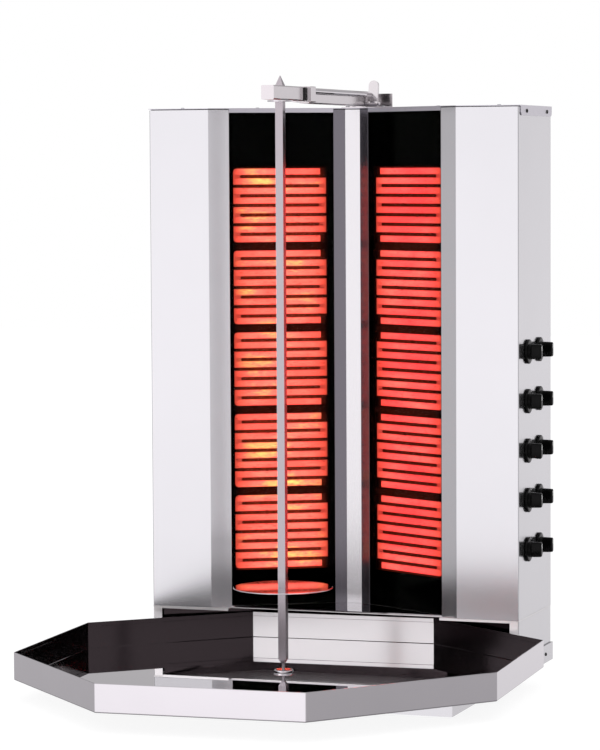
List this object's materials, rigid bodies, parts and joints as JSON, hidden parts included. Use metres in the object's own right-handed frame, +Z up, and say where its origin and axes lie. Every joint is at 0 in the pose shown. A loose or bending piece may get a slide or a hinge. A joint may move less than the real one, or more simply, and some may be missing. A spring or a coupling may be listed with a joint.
{
  "type": "vertical rotisserie oven",
  "caption": "Electric vertical rotisserie oven: steel cabinet with a V of black glass over glowing ribbons, driven spit with disc, hinged top arm, side knobs, octagonal drip tray.",
  "frame": {"origin": "where the spit's axis meets the bench, on the underside of the plinth", "axes": "+X towards the knobs, +Y to the back of the cabinet, +Z up along the spit"},
  "size_m": [0.9463, 1.0632, 1.166],
  "materials": {
    "brushed_steel": "brushed stainless sheet",
    "polished_steel": "mirror polished stainless",
    "zinc_steel": "zinc plated",
    "black_glass": "black ceramic glass, glossy",
    "element_glow": "glowing resistance ribbon",
    "insulation": "dark fibre board",
    "knob_black": "moulded black phenolic",
    "plastic_black": "moulded nylon",
    "plastic_cream": "moulded ceramic and plastic",
    "rubber_black": "matt rubber",
    "motor_paint": "enamel"
  },
  "bodies": {
    "cabinet": {"arm_bracket": "brushed_steel", "arm_pin": "polished_steel", "base_rear": "brushed_steel", "base_side_left": "brushed_steel", "base_side_right": "brushed_steel", "cabinet_deck": "brushed_steel", "cabinet_lid": "brushed_steel", "cable_gland": "plastic_black", "centre_post": "brushed_steel", "drive_belt": "rubber_black", "element_left_1": "element_glow", "element_left_2": "element_glow", "element_left_3": "element_glow", "element_left_4": "element_glow", "element_left_5": "element_glow", "element_right_1": "element_glow", "element_right_2": "element_glow", "element_right_3": "element_glow", "element_right_4": "element_glow", "element_right_5": "element_glow", "gear_motor": "motor_paint", "glass_left": "black_glass", "glass_right": "black_glass", "heater_tray_left": "insulation", "heater_tray_right": "insulation", "plinth_bottom": "zinc_steel", "plinth_cover": "brushed_steel", "rear_panel": "brushed_steel", "regulator_rail": "plastic_cream", "spit_bearing": "zinc_steel", "splash_wall": "brushed_steel", "terminal_block": "plastic_cream", "v_ledge": "polished_steel", "wing_left": "brushed_steel", "wing_right": "brushed_steel"},
    "tray": {"drip_tray": "polished_steel"},
    "spit_drive": {"spit_socket": "polished_steel", "drive_shaft": "zinc_steel", "spit_pulley": "zinc_steel"},
    "spit": {"spit_bar": "brushed_steel", "meat_disc": "polished_steel", "disc_pin": "polished_steel"},
    "motor_drive": {"motor_pulley": "zinc_steel"},
    "arm": {"arm_bar": "brushed_steel", "arm_clamp": "brushed_steel", "arm_head": "brushed_steel", "spit_guide": "polished_steel", "head_buffer": "rubber_black"},
    "lever": {"lock_lever": "brushed_steel"},
    "rod": {"lock_rod": "polished_steel"},
    "front_knob_1": {"knob_front_1": "knob_black"},
    "rear_knob_1": {"knob_rear_1": "knob_black"},
    "front_knob_2": {"knob_front_2": "knob_black"},
    "rear_knob_2": {"knob_rear_2": "knob_black"},
    "front_knob_3": {"knob_front_3": "knob_black"},
    "rear_knob_3": {"knob_rear_3": "knob_black"},
    "front_knob_4": {"knob_front_4": "knob_black"},
    "rear_knob_4": {"knob_rear_4": "knob_black"},
    "front_knob_5": {"knob_front_5": "knob_black"},
    "rear_knob_5": {"knob_rear_5": "knob_black"}
  },
  "joints": [
    {"name": "tray_lift", "type": "slide", "parent": "cabinet", "child": "tray", "axis": [0, 0, 1], "range_m": [0, 0.01]},
    {"name": "spit_spin", "type": "hinge", "parent": "cabinet", "child": "spit_drive", "pos_m": [0, 0, 0], "axis": [0, 0, 1], "continuous": true},
    {"name": "spit_lift", "type": "slide", "parent": "spit_drive", "child": "spit", "axis": [0, 0, 1], "range_m": [0, 0.02]},
    {"name": "motor_spin", "type": "hinge", "parent": "cabinet", "child": "motor_drive", "pos_m": [0, 0.48, 0], "axis": [0, 0, 1], "continuous": true},
    {"name": "arm_flip", "type": "hinge", "parent": "cabinet", "child": "arm", "pos_m": [0, 0.517, 1.128], "axis": [-1, 0, 0], "range_deg": [0, 70]},
    {"name": "lever_turn", "type": "hinge", "parent": "arm", "child": "lever", "pos_m": [0.024, 0.49, 1.119], "axis": [-1, 0, 0], "range_deg": [0, 20]},
    {"name": "rod_pull", "type": "slide", "parent": "arm", "child": "rod", "axis": [0, 1, 0], "range_m": [0, 0.0046]},
    {"name": "front_knob_1_turn", "type": "hinge", "parent": "cabinet", "child": "front_knob_1", "pos_m": [0.383, 0.355, 0.243], "axis": [1, 0, 0], "range_deg": [0, 270]},
    {"name": "rear_knob_1_turn", "type": "hinge", "parent": "cabinet", "child": "rear_knob_1", "pos_m": [0.383, 0.439, 0.243], "axis": [1, 0, 0], "range_deg": [0, 270]},
    {"name": "front_knob_2_turn", "type": "hinge", "parent": "cabinet", "child": "front_knob_2", "pos_m": [0.383, 0.355, 0.34], "axis": [1, 0, 0], "range_deg": [0, 270]},
    {"name": "rear_knob_2_turn", "type": "hinge", "parent": "cabinet", "child": "rear_knob_2", "pos_m": [0.383, 0.439, 0.34], "axis": [1, 0, 0], "range_deg": [0, 270]},
    {"name": "front_knob_3_turn", "type": "hinge", "parent": "cabinet", "child": "front_knob_3", "pos_m": [0.383, 0.355, 0.437], "axis": [1, 0, 0], "range_deg": [0, 270]},
    {"name": "rear_knob_3_turn", "type": "hinge", "parent": "cabinet", "child": "rear_knob_3", "pos_m": [0.383, 0.439, 0.437], "axis": [1, 0, 0], "range_deg": [0, 270]},
    {"name": "front_knob_4_turn", "type": "hinge", "parent": "cabinet", "child": "front_knob_4", "pos_m": [0.383, 0.355, 0.534], "axis": [1, 0, 0], "range_deg": [0, 270]},
    {"name": "rear_knob_4_turn", "type": "hinge", "parent": "cabinet", "child": "rear_knob_4", "pos_m": [0.383, 0.439, 0.534], "axis": [1, 0, 0], "range_deg": [0, 270]},
    {"name": "front_knob_5_turn", "type": "hinge", "parent": "cabinet", "child": "front_knob_5", "pos_m": [0.383, 0.355, 0.631], "axis": [1, 0, 0], "range_deg": [0, 270]},
    {"name": "rear_knob_5_turn", "type": "hinge", "parent": "cabinet", "child": "rear_knob_5", "pos_m": [0.383, 0.439, 0.631], "axis": [1, 0, 0], "range_deg": [0, 270]}
  ],
  "couplings": [
    {"joint": "motor_spin", "follows": "spit_spin", "ratio": 2.5},
    {"joint": "rod_pull", "follows": "lever_turn", "m_per_rad": 0.013}
  ]
}
